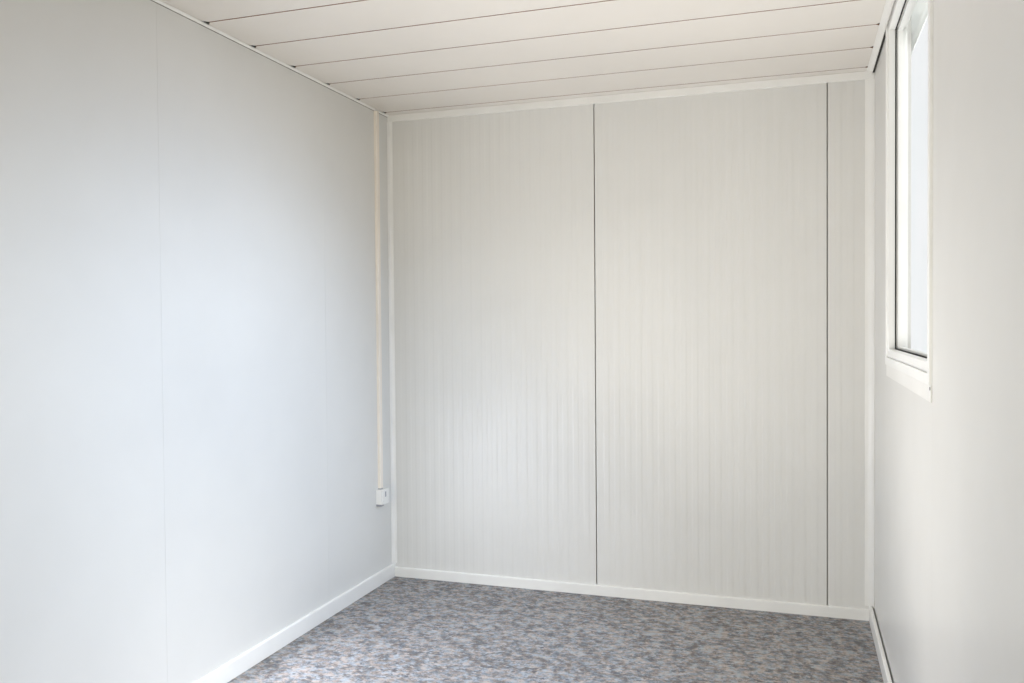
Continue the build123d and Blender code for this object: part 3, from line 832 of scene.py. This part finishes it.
class CABIN_OT_window(bpy.types.Operator):
    """Builds the window: rounded bars, rubber, double glass with its spacer, apron."""

    bl_idname = "cabin.window"
    bl_label = "Window"

    def execute(self, context):
        radius = context.scene.cabin_edges.plastic
        for node, name, edge, finish, slot in (
            ("window_frame", "bars", radius * FRAME_BAR_EDGE, "window_plastic", "white_pvc"),
            ("window_sash", "bars", radius * SASH_BAR_EDGE, "window_plastic", "white_pvc"),
            ("window_apron", "strip", THIN_EDGE, "plastic", "panel_skin"),
            ("window_gasket", "rubber", THIN_EDGE, "rubber", "black_rubber"),
        ):
            rounded_node(node, f"{node}_{name}", edge, finish)
        dress("window_drip", "wall")
        self.build_glass()
        self.build_apron_screw()
        return {"FINISHED"}

    def build_glass(self):
        """Two panes with a pale spacer between them, all round."""
        low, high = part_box("window_glass")
        x0, x1 = low.x + PANE_THICK, high.x - PANE_THICK
        y0, y1 = low.y + SPACER_WIDE, high.y - SPACER_WIDE
        z0, z1 = low.z + SPACER_WIDE, high.z - SPACER_WIDE
        block_piece("window_panes", "glass", (
            (low, (x0, high.y, high.z), PANE_EDGE, 1), ((x1, low.y, low.z), high, PANE_EDGE, 1),
        ), ["window_glass"])
        block_piece("window_spacer", "window_plastic", (
            ((x0, low.y + SPACER_INSET, low.z), (x1, y0, high.z)),
            ((x0, y1, low.z), (x1, high.y - SPACER_INSET, high.z)),
            ((x0, y0, low.z + SPACER_INSET), (x1, y1, z0)),
            ((x0, y0, z1), (x1, y1, high.z - SPACER_INSET)),
        ))

    def build_apron_screw(self):
        """One countersunk screw at the near end of the apron, near black as painted shade, as in
        the photograph.
        """
        low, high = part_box("window_apron")
        bm = bmesh.new()
        place = (low.x, low.y + APRON_SCREW_INSET, high.z - APRON_SCREW_INSET)
        add_turned(bm, APRON_SCREW, place, (-1, 0, 0), 16)
        shade_by_angle(piece_from(bm, "apron_screw", "dark"))


# Door

DOOR_FRAME_EDGE, DOOR_LEAF_EDGE = 2.0 * MM, 2.5 * MM
SEAL_GAP, SEAL_SLACK = 4 * MM, 0.2 * MM
# How far behind the leaf's outer face the seal's inner and outer side are.
SEAL_DEPTHS = (16 * MM, 6 * MM)

PLATE_WIDE, PLATE_THICK, PLATE_EDGE = 40 * MM, 6 * MM, 3 * MM
PLATE_SCREW_INSET = 14 * MM
LEVER_RADIUS, LEVER_BEND, LEVER_LONG = 9 * MM, 16 * MM, 130 * MM
# Edge radius of the lever's end, as a share of the lever's radius.
LEVER_END_EDGE = 0.3
# The key cylinder's drop below the lever, and the lower part of its profile.
LOCK_DROP = 72 * MM
LOCK_HALF_WIDE, LOCK_TALL, LOCK_PROUD = 5 * MM, 24 * MM, 3 * MM
KEYHOLE_HALF_WIDE, KEYHOLE_HALF_TALL, KEYHOLE_PROUD = 0.8 * MM, 4 * MM, 3.6 * MM
LEVER_ROSE = in_mm((0, 0), (13, 0), (13, 3), (11, 4), (0, 4))
KEY_CYLINDER = in_mm((0, 0), (8.5, 0), (8.5, 2.5), (7.5, 3.5), (0, 3.5))
PLATE_SCREW = in_mm((0, 0), (4, 0), (3.4, 1.1), (1.4, 1.6), (0, 1.0))

HINGE_TALL, HINGE_GROOVE, HINGE_CHAMFER = 100 * MM, 1.2 * MM, 2 * MM
# The narrow ends of a knuckle, as a share of its radius.
HINGE_END = 0.6
# The hinge leaf on the door: how thick, how wide, how far inside the knuckle's ends, and its
# edge radius.
HINGE_LEAF = (2 * MM, 30 * MM, 4 * MM, 0.6 * MM)
SILL_RIBS, SILL_DEEP = 5, 2 * MM


def add_pipe(bm, centre, radius, direction, moves):
    """Adds a round bar: a ring carried along runs and turns, closed at both ends.

    Each move is ("run", vector) or ("turn", centre, axis, angle).
    """
    turn = Vector((0, 0, 1)).rotation_difference(Vector(direction)).to_matrix().to_4x4()
    made = bmesh.ops.create_circle(
        bm, cap_ends=True, segments=16, radius=radius,
        matrix=Matrix.Translation(centre) @ turn)
    first = list({f for v in made["verts"] for f in v.link_faces})
    ring = list({e for f in first for e in f.edges})
    for move in moves:
        if move[0] == "run":
            out = bmesh.ops.extrude_edge_only(bm, edges=ring)
            verts = [g for g in out["geom"] if isinstance(g, bmesh.types.BMVert)]
            bmesh.ops.translate(bm, vec=move[1], verts=verts)
            ring = [
                g for g in out["geom"]
                if isinstance(g, bmesh.types.BMEdge) and all(v in verts for v in g.verts)
            ]
        else:
            out = bmesh.ops.spin(bm, geom=ring, cent=move[1], axis=move[2], angle=move[3], steps=6)
            ring = [g for g in out["geom_last"] if isinstance(g, bmesh.types.BMEdge)]
    cap = bmesh.ops.edgeloop_fill(bm, edges=ring)["faces"]
    rim = {e for f in cap for e in f.edges}
    bevel(bm, rim, radius * LEVER_END_EDGE, 3)
    bmesh.ops.recalc_face_normals(bm, faces=bm.faces)


class CABIN_OT_door(bpy.types.Operator):
    """Builds the door: frame, leaf with its seal, lever handles, lock and hinges."""

    bl_idname = "cabin.door"
    bl_label = "Door"

    def execute(self, context):
        rounded_node("door_frame", "door_frame_bars", DOOR_FRAME_EDGE, "door")
        rounded_node("door_leaf", "door_leaf_panel", DOOR_LEAF_EDGE, "door")
        self.build_seal()
        self.build_handles()
        self.build_hinges()
        self.build_threshold()
        return {"FINISHED"}

    def build_seal(self):
        """A black hollow rubber between the leaf and its frame, on both sides and on top."""
        low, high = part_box("door_leaf")
        x0, x1 = (high.x - depth for depth in SEAL_DEPTHS)
        top = high.z + SEAL_GAP - SEAL_SLACK
        sides = (
            (low.y - SEAL_GAP + SEAL_SLACK, low.y - SEAL_SLACK, low.z),
            (high.y + SEAL_SLACK, high.y + SEAL_GAP - SEAL_SLACK, low.z),
            (low.y, high.y, high.z + SEAL_SLACK),
        )
        block_piece(
            "door_seal", "rubber",
            [((x0, y0, foot), (x1, y1, top), MM) for y0, y1, foot in sides])

    def build_handles(self):
        """Long plates with a lever, a key cylinder and two screws, inside and outside."""
        low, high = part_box("door_handles")
        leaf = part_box("door_leaf")
        y_axis = high.y - PLATE_WIDE / 2
        z_mid = (low.z + high.z) / 2
        z_lock = z_mid - LOCK_DROP
        metal, dark, screws = bmesh.new(), bmesh.new(), bmesh.new()
        for side, face, end in ((1, leaf[1].x, high.x), (-1, leaf[0].x, low.x)):
            outwards = (side, 0, 0)
            plate = face + side * PLATE_THICK
            x0, x1 = sorted((face, plate))
            add_block(metal, (x0, high.y - PLATE_WIDE, low.z), (x1, high.y, high.z), PLATE_EDGE, 3)
            run = abs(end - plate) - LEVER_RADIUS - LEVER_BEND
            elbow = (plate + side * run, y_axis - LEVER_BEND, z_mid)
            add_turned(metal, LEVER_ROSE, (plate, y_axis, z_mid), outwards)
            add_pipe(
                metal, (plate, y_axis, z_mid), LEVER_RADIUS, outwards,
                [
                    ("run", (side * run, 0, 0)),
                    ("turn", elbow, (0, 0, side), -math.pi / 2),
                    ("run", (0, -(LEVER_LONG - LEVER_BEND - LEVER_RADIUS), 0)),
                ])
            add_turned(metal, KEY_CYLINDER, (plate, y_axis, z_lock), outwards)
            x0, x1 = sorted((plate, plate + side * LOCK_PROUD))
            add_block(
                metal, (x0, y_axis - LOCK_HALF_WIDE, z_lock - LOCK_TALL),
                (x1, y_axis + LOCK_HALF_WIDE, z_lock), MM)
            # The keyhole is a near-black slit block: painted shade of its hollow.
            slit = plate + side * KEYHOLE_PROUD
            x0, x1 = sorted((slit, slit - side * MM))
            add_block(
                dark, (x0, y_axis - KEYHOLE_HALF_WIDE, z_lock - KEYHOLE_HALF_TALL),
                (x1, y_axis + KEYHOLE_HALF_WIDE, z_lock + KEYHOLE_HALF_TALL))
            for z in (low.z + PLATE_SCREW_INSET, high.z - PLATE_SCREW_INSET):
                add_turned(screws, PLATE_SCREW, (plate, y_axis, z), outwards, 14)
        for bm, name, finish, stands in (
            (metal, "door_handle_set", "aluminium", ["door_handles"]),
            (dark, "door_keyholes", "dark", []), (screws, "door_handle_screws", "screw", []),
        ):
            shade_by_angle(piece_from(bm, name, finish, stands))

    def build_hinges(self):
        """Three steel knuckle hinges with their pins and leaves."""
        low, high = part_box("door_hinges")
        leaf_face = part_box("door_leaf")[1].x
        radius = (high.x - low.x) / 2
        x, y = (low.x + high.x) / 2, (low.y + high.y) / 2
        tall = HINGE_TALL
        outline = [(0, 0), (radius * HINGE_END, 0), (radius, HINGE_CHAMFER)]
        for share in (1 / 3, 2 / 3):
            outline += [
                (radius, tall * share - HINGE_GROOVE), (radius - HINGE_GROOVE, tall * share),
                (radius, tall * share + HINGE_GROOVE),
            ]
        outline += [(radius, tall - HINGE_CHAMFER), (radius * HINGE_END, tall), (0, tall)]
        thick, wide, inset, edge = HINGE_LEAF
        bm = bmesh.new()
        for n in range(3):
            z = low.z + n * ((high.z - low.z - tall) / 2)
            add_turned(bm, outline, (x, y, z), (0, 0, 1))
            add_block(
                bm, (leaf_face, y, z + inset), (leaf_face + thick, y + wide, z + tall - inset),
                edge)
        shade_by_angle(piece_from(bm, "door_hinge_set", "screw", ["door_hinges"]))

    def build_threshold(self):
        """A drawn aluminium sill with five ribs along its tread."""
        low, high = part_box("door_threshold")
        step = (high.x - low.x) / (2 * SILL_RIBS + 1)
        tread = high.z - SILL_DEEP
        section = [(low.x, low.z), (high.x, low.z), (high.x, high.z)]
        for n in range(SILL_RIBS):
            x = high.x - (2 * n + 1) * step
            section += [(x, high.z), (x - MM, tread), (x - step + MM, tread), (x - step, high.z)]
        section.append((low.x, high.z))
        bm = bmesh.new()
        add_bar(bm, section, "Y", low.y, high.y)
        piece_from(bm, "door_sill", "sill_metal", ["door_threshold"])


# Inside trims

BEAD_LIP = 3 * MM
BEAD_EDGE = 0.9 * MM
# How far the right trim's upright leg stands off the wall, and how the painted shade in the slot
# sits behind it.
TRIM_LEG_OFF = 9 * MM
SLOT_CLEAR = 0.2 * MM
SLOT_FOOT, SLOT_TOP = 4 * MM, 3.2 * MM
# Depth and height of the shaded gap under the bead.
BEAD_GAP = (1.2 * MM, 2.5 * MM)


class CABIN_OT_trims(bpy.types.Operator):
    """Builds the skirtings, corner trims and ceiling trims with softened edges."""

    bl_idname = "cabin.trims"
    bl_label = "Inside trims"

    def execute(self, context):
        radius = context.scene.cabin_edges.plastic
        for node, share in (
            ("skirting_left", 0.8), ("skirting_right", 0.8), ("skirting_ends", 0.8),
            ("corner_trims", 0.7), ("ceiling_trim_right", 0.6), ("ceiling_trim_ends", 1.3),
        ):
            rounded_node(node, node + "_moulded", radius * share, "plastic")
        self.build_bead()
        self.build_gaps()
        return {"FINISHED"}

    def build_bead(self):
        """A slim bead with a sloped face along the top of the left wall."""
        low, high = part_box("ceiling_trim_left")
        face, foot = LEFT_X + BEAD_WIDTH, high.z - BEAD_WIDTH
        section = [
            (LEFT_X, high.z), (face, high.z), (face, high.z - BEAD_LIP), (LEFT_X + BEAD_LIP, foot),
            (LEFT_X, foot),
        ]
        bm = bmesh.new()
        add_bar(bm, section, "Y", low.y, high.y)
        round_edges(bm, BEAD_EDGE, 2)
        shade_by_angle(piece_from(
            bm, "ceiling_trim_left_moulded", "plastic", ["ceiling_trim_left"]))

    def build_gaps(self):
        """Painted shade in the slots that the ceiling trims leave open along the walls, and in the
        gap under the bead.
        """
        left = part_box("ceiling_trim_left")
        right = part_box("ceiling_trim_right")
        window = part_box("window_frame")
        x0, x1 = RIGHT_X - TRIM_LEG_OFF + SLOT_CLEAR, RIGHT_X - SLOT_CLEAR
        foot, top = right[0].z + SLOT_FOOT, right[1].z - SLOT_TOP
        spans = ((right[0].y, window[0].y - MM), (window[1].y + MM, right[1].y))
        block_piece(
            "ceiling_trim_slot_shades", "painted_slot_shade",
            [((x0, start, foot), (x1, stop, top), GAP_EDGE, 1) for start, stop in spans])
        top = left[1].z - BEAD_WIDTH
        block_piece("ceiling_bead_gap", "shade", [(
            (LEFT_X, left[0].y, top - BEAD_GAP[1]), (LEFT_X + BEAD_GAP[0], left[1].y, top),
            GAP_EDGE, 1)])


# Cable trunking and socket box

# The trunking's base: how deep it is, and how far it stands back behind the cover.
TRUNKING_BASE, TRUNKING_LIP, TRUNKING_LAP = 9 * MM, 1.2 * MM, 3 * MM

CASE_EDGE, COVER_EDGE = 2 * MM, 1.6 * MM
# Where the socket's cover starts, as a share of its depth, and the seam behind the cover.
COVER_START, COVER_SEAM = 0.86, 0.5 * MM
# How far below the box's top the case and the cover end.
CASE_DROP, COVER_DROP = 4.5 * MM, 2 * MM
# The recess: half its width, and its lower and upper end as shares of the box's height.
RECESS_HALF_WIDE, RECESS_SPAN = 7 * MM, (0.46, 0.80)
RECESS_LAP, RECESS_FLOOR = 3 * MM, 1.2 * MM
# The recess's lower and upper side lie a little behind the cover and under its top.
RECESS_BACK, RECESS_DOWN = 0.3 * MM, 0.4 * MM
# How far the painted shadow below the box drops and how wide it is, and the edges of the painted
# shade above it.
UNDER_SHADE_DROP, UNDER_SHADE_WIDE, TOP_SHADE_EDGE = 9 * MM, 26 * MM, 0.6 * MM
SOCKET_SCREW = in_mm((0, 0), (2.6, 0), (2.2, 0.5), (0.8, 0.2), (0, 0.1))
SOCKET_SCREW_INSET, SOCKET_SCREW_SUNK = 9 * MM, 0.4 * MM
# The screws' height, as a share of the box's.
SOCKET_SCREW_UP = 0.2


class CABIN_OT_electrics(bpy.types.Operator):
    """Builds the cable trunking and the socket box on the left wall."""

    bl_idname = "cabin.electrics"
    bl_label = "Trunking and socket"

    def execute(self, context):
        self.build_trunking()
        self.build_socket()
        return {"FINISHED"}

    def build_trunking(self):
        """A two part trunking: a base on the wall and a cover clipped over its edges."""
        low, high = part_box("cable_trunking")
        split = low.x + TRUNKING_BASE
        shade_by_angle(block_piece("cable_trunking_cover", "cream", (
            (
                (low.x, low.y + TRUNKING_LIP, low.z), (split, high.y - TRUNKING_LIP, high.z),
                GAP_EDGE, 1),
            ((split - TRUNKING_LAP, low.y, low.z), high, COVER_EDGE),
        ), ["cable_trunking"]))

    def build_socket(self):
        """A deep surface box with a front cover, a recess in it and two screws, with grey painted
        shade in the recess and its seam and on the box's top under the trunking, and a grey painted
        shadow below the box."""
        low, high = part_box("socket_box")
        trunk_low, trunk_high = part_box("cable_trunking")
        middle = (low.y + high.y) / 2
        tall = high.z - low.z
        front = low.x + (high.x - low.x) * COVER_START
        case_top, cover_top = high.z - CASE_DROP, high.z - COVER_DROP
        y0, y1 = middle - RECESS_HALF_WIDE, middle + RECESS_HALF_WIDE
        z0, z1 = (low.z + tall * share for share in RECESS_SPAN)
        # A case with a cover whose four sides are left standing round an open well.
        shade_by_angle(block_piece("socket_box_case", "plastic", (
            (low, (front - COVER_SEAM, high.y, case_top), CASE_EDGE),
            ((front, low.y, low.z), (high.x, y0, cover_top), COVER_EDGE),
            ((front, y1, low.z), (high.x, high.y, cover_top), COVER_EDGE),
            ((front, y0 - RECESS_LAP, low.z), (high.x - RECESS_BACK, y1 + RECESS_LAP, z0), MM),
            (
                (front, y0 - RECESS_LAP, z1),
                (high.x - RECESS_BACK, y1 + RECESS_LAP, cover_top - RECESS_DOWN), MM),
        ), ["socket_box"]))
        # Grey painted shade: the seam's filling, the recess's floor and the box's top under the
        # trunking, and a painted shadow below the box.
        block_piece("socket_painted_shades", "socket_shade", (
            ((front - COVER_SEAM, low.y + MM, low.z + MM), (front, high.y - MM, case_top - MM)),
            (
                (front, y0 - MM, z0 - MM), (high.x - RECESS_FLOOR, y1 + MM, z1 + MM), GAP_EDGE,
                1),
            (
                (low.x, trunk_low.y + MM, case_top - MM),
                (trunk_high.x - MM, trunk_high.y - MM, high.z + MM), TOP_SHADE_EDGE, 1),
            (
                (low.x, low.y + MM, low.z - UNDER_SHADE_DROP),
                (front - 2 * MM, low.y + UNDER_SHADE_WIDE, low.z + MM), CASE_EDGE),
        ))
        screws = bmesh.new()
        for y in (low.y + SOCKET_SCREW_INSET, high.y - SOCKET_SCREW_INSET):
            place = (high.x - SOCKET_SCREW_SUNK, y, low.z + tall * SOCKET_SCREW_UP)
            add_turned(screws, SOCKET_SCREW, place, (1, 0, 0), 12)
        shade_by_angle(piece_from(screws, "socket_screws", "screw"))


# Stage: ground, light and camera

CAMERA_PLACE = Vector((0.8070, -0.9372, 1.4089))
CAMERA_TURN = 0.3211
CAMERA_PITCH = -0.0212
CAMERA_ROLL = -0.0081
CAMERA_FOCAL_PIXELS = 857.9
PHOTO_WIDTH = 1024
SENSOR = 36.0

GROUND_RADIUS = 70.0
SUN_TOWARDS, SUN_SPREAD = (-0.79, -0.15, -0.59), 16
# The overhead lamp's share of the fill, and the watts of the two small lamps at the window.
OVERHEAD_SHARE = 0.54
WINDOW_HEAD_WATTS, WINDOW_REVEAL_WATTS = 0.22, 0.11


class CABIN_OT_stage(bpy.types.Operator):
    """Sets the ground, the lamps, the world and the camera."""

    bl_idname = "cabin.stage"
    bl_label = "Stage"

    def execute(self, context):
        scene = context.scene
        stage = scene.cabin_stage
        bm = bmesh.new()
        bmesh.ops.create_circle(bm, cap_ends=True, segments=96, radius=GROUND_RADIUS)
        mesh = bpy.data.meshes.new("ground")
        bm.to_mesh(mesh)
        bm.free()
        ground = bpy.data.objects.new("ground", mesh)
        scene.collection.objects.link(ground)
        mesh.materials.append(ground_paint("Pale_ground", stage.ground))
        self.set_world(scene, stage)
        self.add_lamps(scene, stage)
        self.add_camera(scene)
        scene.view_settings.view_transform = "Standard"
        return {"FINISHED"}

    def set_world(self, scene, stage):
        """An even pale world that the camera, gloss and glass see as near white."""
        world = bpy.data.worlds.new("Pale_world")
        world.use_nodes = True
        scene.world = world
        tree = world.node_tree
        back = tree.nodes["Background"]
        fill(tree, back, Color=opaque(linear("FFFFFF")), Strength=stage.sky_strength)
        seen = add(tree, "Background", Color=opaque(linear(BACKDROP)), Strength=1.0)
        path = add(tree, "LightPath")
        share = path.outputs["Is Camera Ray"]
        for ray in ("Is Transmission Ray", "Is Glossy Ray"):
            share = add(tree, "Math", {"operation": "MAXIMUM"}, n0=share, n1=path.outputs[ray])
        mixed = add(tree, "MixShader", Fac=share, n1=back, n2=seen)
        fill(tree, tree.nodes["World Output"], Surface=mixed)

    def add_lamps(self, scene, stage):
        """A soft sun outside, large lamps inside the room and two small ones at the window."""
        sun = bpy.data.lights.new("soft_sun", "SUN")
        sun.energy = stage.sun_strength
        sun.angle = math.radians(SUN_SPREAD)
        lamp = bpy.data.objects.new("soft_sun", sun)
        lamp.rotation_mode = "QUATERNION"
        lamp.rotation_quaternion = Vector(SUN_TOWARDS).to_track_quat("-Z", "Y")
        scene.collection.objects.link(lamp)
        self.add_area(
            "room_lamp", stage.room_strength, (1.9, 1.2), (0.2, -2.35, 0.80), (-0.13, 1.0, 0.0),
            "FFF9E9", 120)
        self.add_area(
            "low_side_lamp", stage.side_strength, (1.5, 0.56), (LEFT_X + 0.03, 1.25, 0.60),
            (1.0, 0.0, 0.0), "E8EDFB", 180, mirrored=True)
        # A soft spot beside the window that fades out towards the edge of its cone.
        place = Vector((0.90, 1.60, 1.80))
        self.add_lamp(
            "window_lamp", "SPOT", stage.window_strength, place,
            Vector((LEFT_X, 1.50, 0.50)) - place, "C0DAFF", spot_size=math.radians(105),
            spot_blend=1.0, shadow_soft_size=0.25)
        self.add_area(
            "overhead_lamp", stage.fill_strength * OVERHEAD_SHARE, (0.9, 2.2), (-0.1, 1.2, 2.40),
            (0.0, 0.0, -1.0), "FAFEFF", 120)
        self.add_area(
            "floor_lamp", stage.fill_strength, (1.2, 1.8), (0.35, 1.60, 0.20), (0.30, 0.15, 1.0),
            "FFF9F1", 120)
        low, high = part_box("window_glass")
        self.add_area(
            "window_head_lamp", WINDOW_HEAD_WATTS, (0.010, 1.2),
            (high.x + 0.050, high.y - 0.30, high.z - 0.04), (0.0, 0.0, 1.0), "FFFFFF", 100)
        self.add_area(
            "window_reveal_lamp", WINDOW_REVEAL_WATTS, (0.012, 1.05),
            (high.x + 0.016, high.y - 0.15, (low.z + high.z) / 2), (0.0, 1.0, 0.0), "FFFFFF", 40)

    def add_area(self, name, power, size, place, towards, code, spread, mirrored=False):
        """A rectangular lamp that gloss shows only where it is mirrored."""
        self.add_lamp(
            name, "AREA", power, place, towards, code, mirrored, shape="RECTANGLE",
            spread=math.radians(spread), size=size[0], size_y=size[1])

    def add_lamp(self, name, kind, power, place, towards, code, mirrored=False, **looks):
        """Places a lamp that the camera and the glass don't show."""
        light = bpy.data.lights.new(name, kind)
        for key, value in looks.items():
            setattr(light, key, value)
        light.energy = power
        light.color = linear(code)
        lamp = bpy.data.objects.new(name, light)
        lamp.location = place
        lamp.rotation_mode = "QUATERNION"
        lamp.rotation_quaternion = Vector(towards).to_track_quat("-Z", "Y")
        lamp.visible_camera = False
        lamp.visible_glossy = mirrored
        lamp.visible_transmission = False
        bpy.context.scene.collection.objects.link(lamp)

    def add_camera(self, scene):
        """The photograph's viewing place, inside the room, and its angle."""
        data = bpy.data.cameras.new("view_camera")
        data.sensor_width = SENSOR
        data.lens = CAMERA_FOCAL_PIXELS / PHOTO_WIDTH * SENSOR
        data.clip_start = 0.02
        data.clip_end = 200.0
        camera = bpy.data.objects.new("view_camera", data)
        level = Matrix.Rotation(CAMERA_TURN, 4, "Z")
        tip = Matrix.Rotation(math.pi / 2 + CAMERA_PITCH, 4, "X")
        roll = Matrix.Rotation(CAMERA_ROLL, 4, "Z")
        camera.matrix_world = Matrix.Translation(CAMERA_PLACE) @ level @ tip @ roll
        scene.collection.objects.link(camera)
        scene.camera = camera


class CABIN_PT_panel(bpy.types.Panel):
    """Lists the cabin's operators and settings."""

    bl_idname = "CABIN_PT_panel"
    bl_label = "Site cabin"
    bl_space_type = "VIEW_3D"
    bl_region_type = "UI"
    bl_category = "Cabin"

    def draw(self, context):
        layout = self.layout
        for operator in OPERATORS:
            layout.operator(operator.bl_idname)
        for name in SETTINGS:
            group = getattr(context.scene, name)
            box = layout.box()
            for key in group.bl_rna.properties.keys():
                if key not in ("rna_type", "name"):
                    box.prop(group, key)


OPERATORS = (
    CABIN_OT_steel_frame, CABIN_OT_base, CABIN_OT_walls, CABIN_OT_roof, CABIN_OT_window,
    CABIN_OT_door, CABIN_OT_trims, CABIN_OT_electrics, CABIN_OT_stage,
)
SETTINGS = {
    "cabin_lining": CabinLiningSettings,
    "cabin_edges": CabinEdgeSettings,
    "cabin_colours": CabinColourSettings,
    "cabin_stage": CabinStageSettings,
}
CLASSES = (*SETTINGS.values(), *OPERATORS, CABIN_PT_panel)


def register():
    for cls in CLASSES:
        bpy.utils.register_class(cls)
    for name, group in SETTINGS.items():
        setattr(bpy.types.Scene, name, PointerProperty(type=group))


def unregister():
    for name in SETTINGS:
        delattr(bpy.types.Scene, name)
    for cls in reversed(CLASSES):
        bpy.utils.unregister_class(cls)


def main():
    register()
    make_finishes()
    bpy.ops.cabin.steel_frame()
    bpy.ops.cabin.base()
    bpy.ops.cabin.walls()
    bpy.ops.cabin.roof()
    bpy.ops.cabin.window()
    bpy.ops.cabin.door()
    bpy.ops.cabin.trims()
    bpy.ops.cabin.electrics()
    bpy.ops.cabin.stage()


if __name__ == "__main__":
    main()
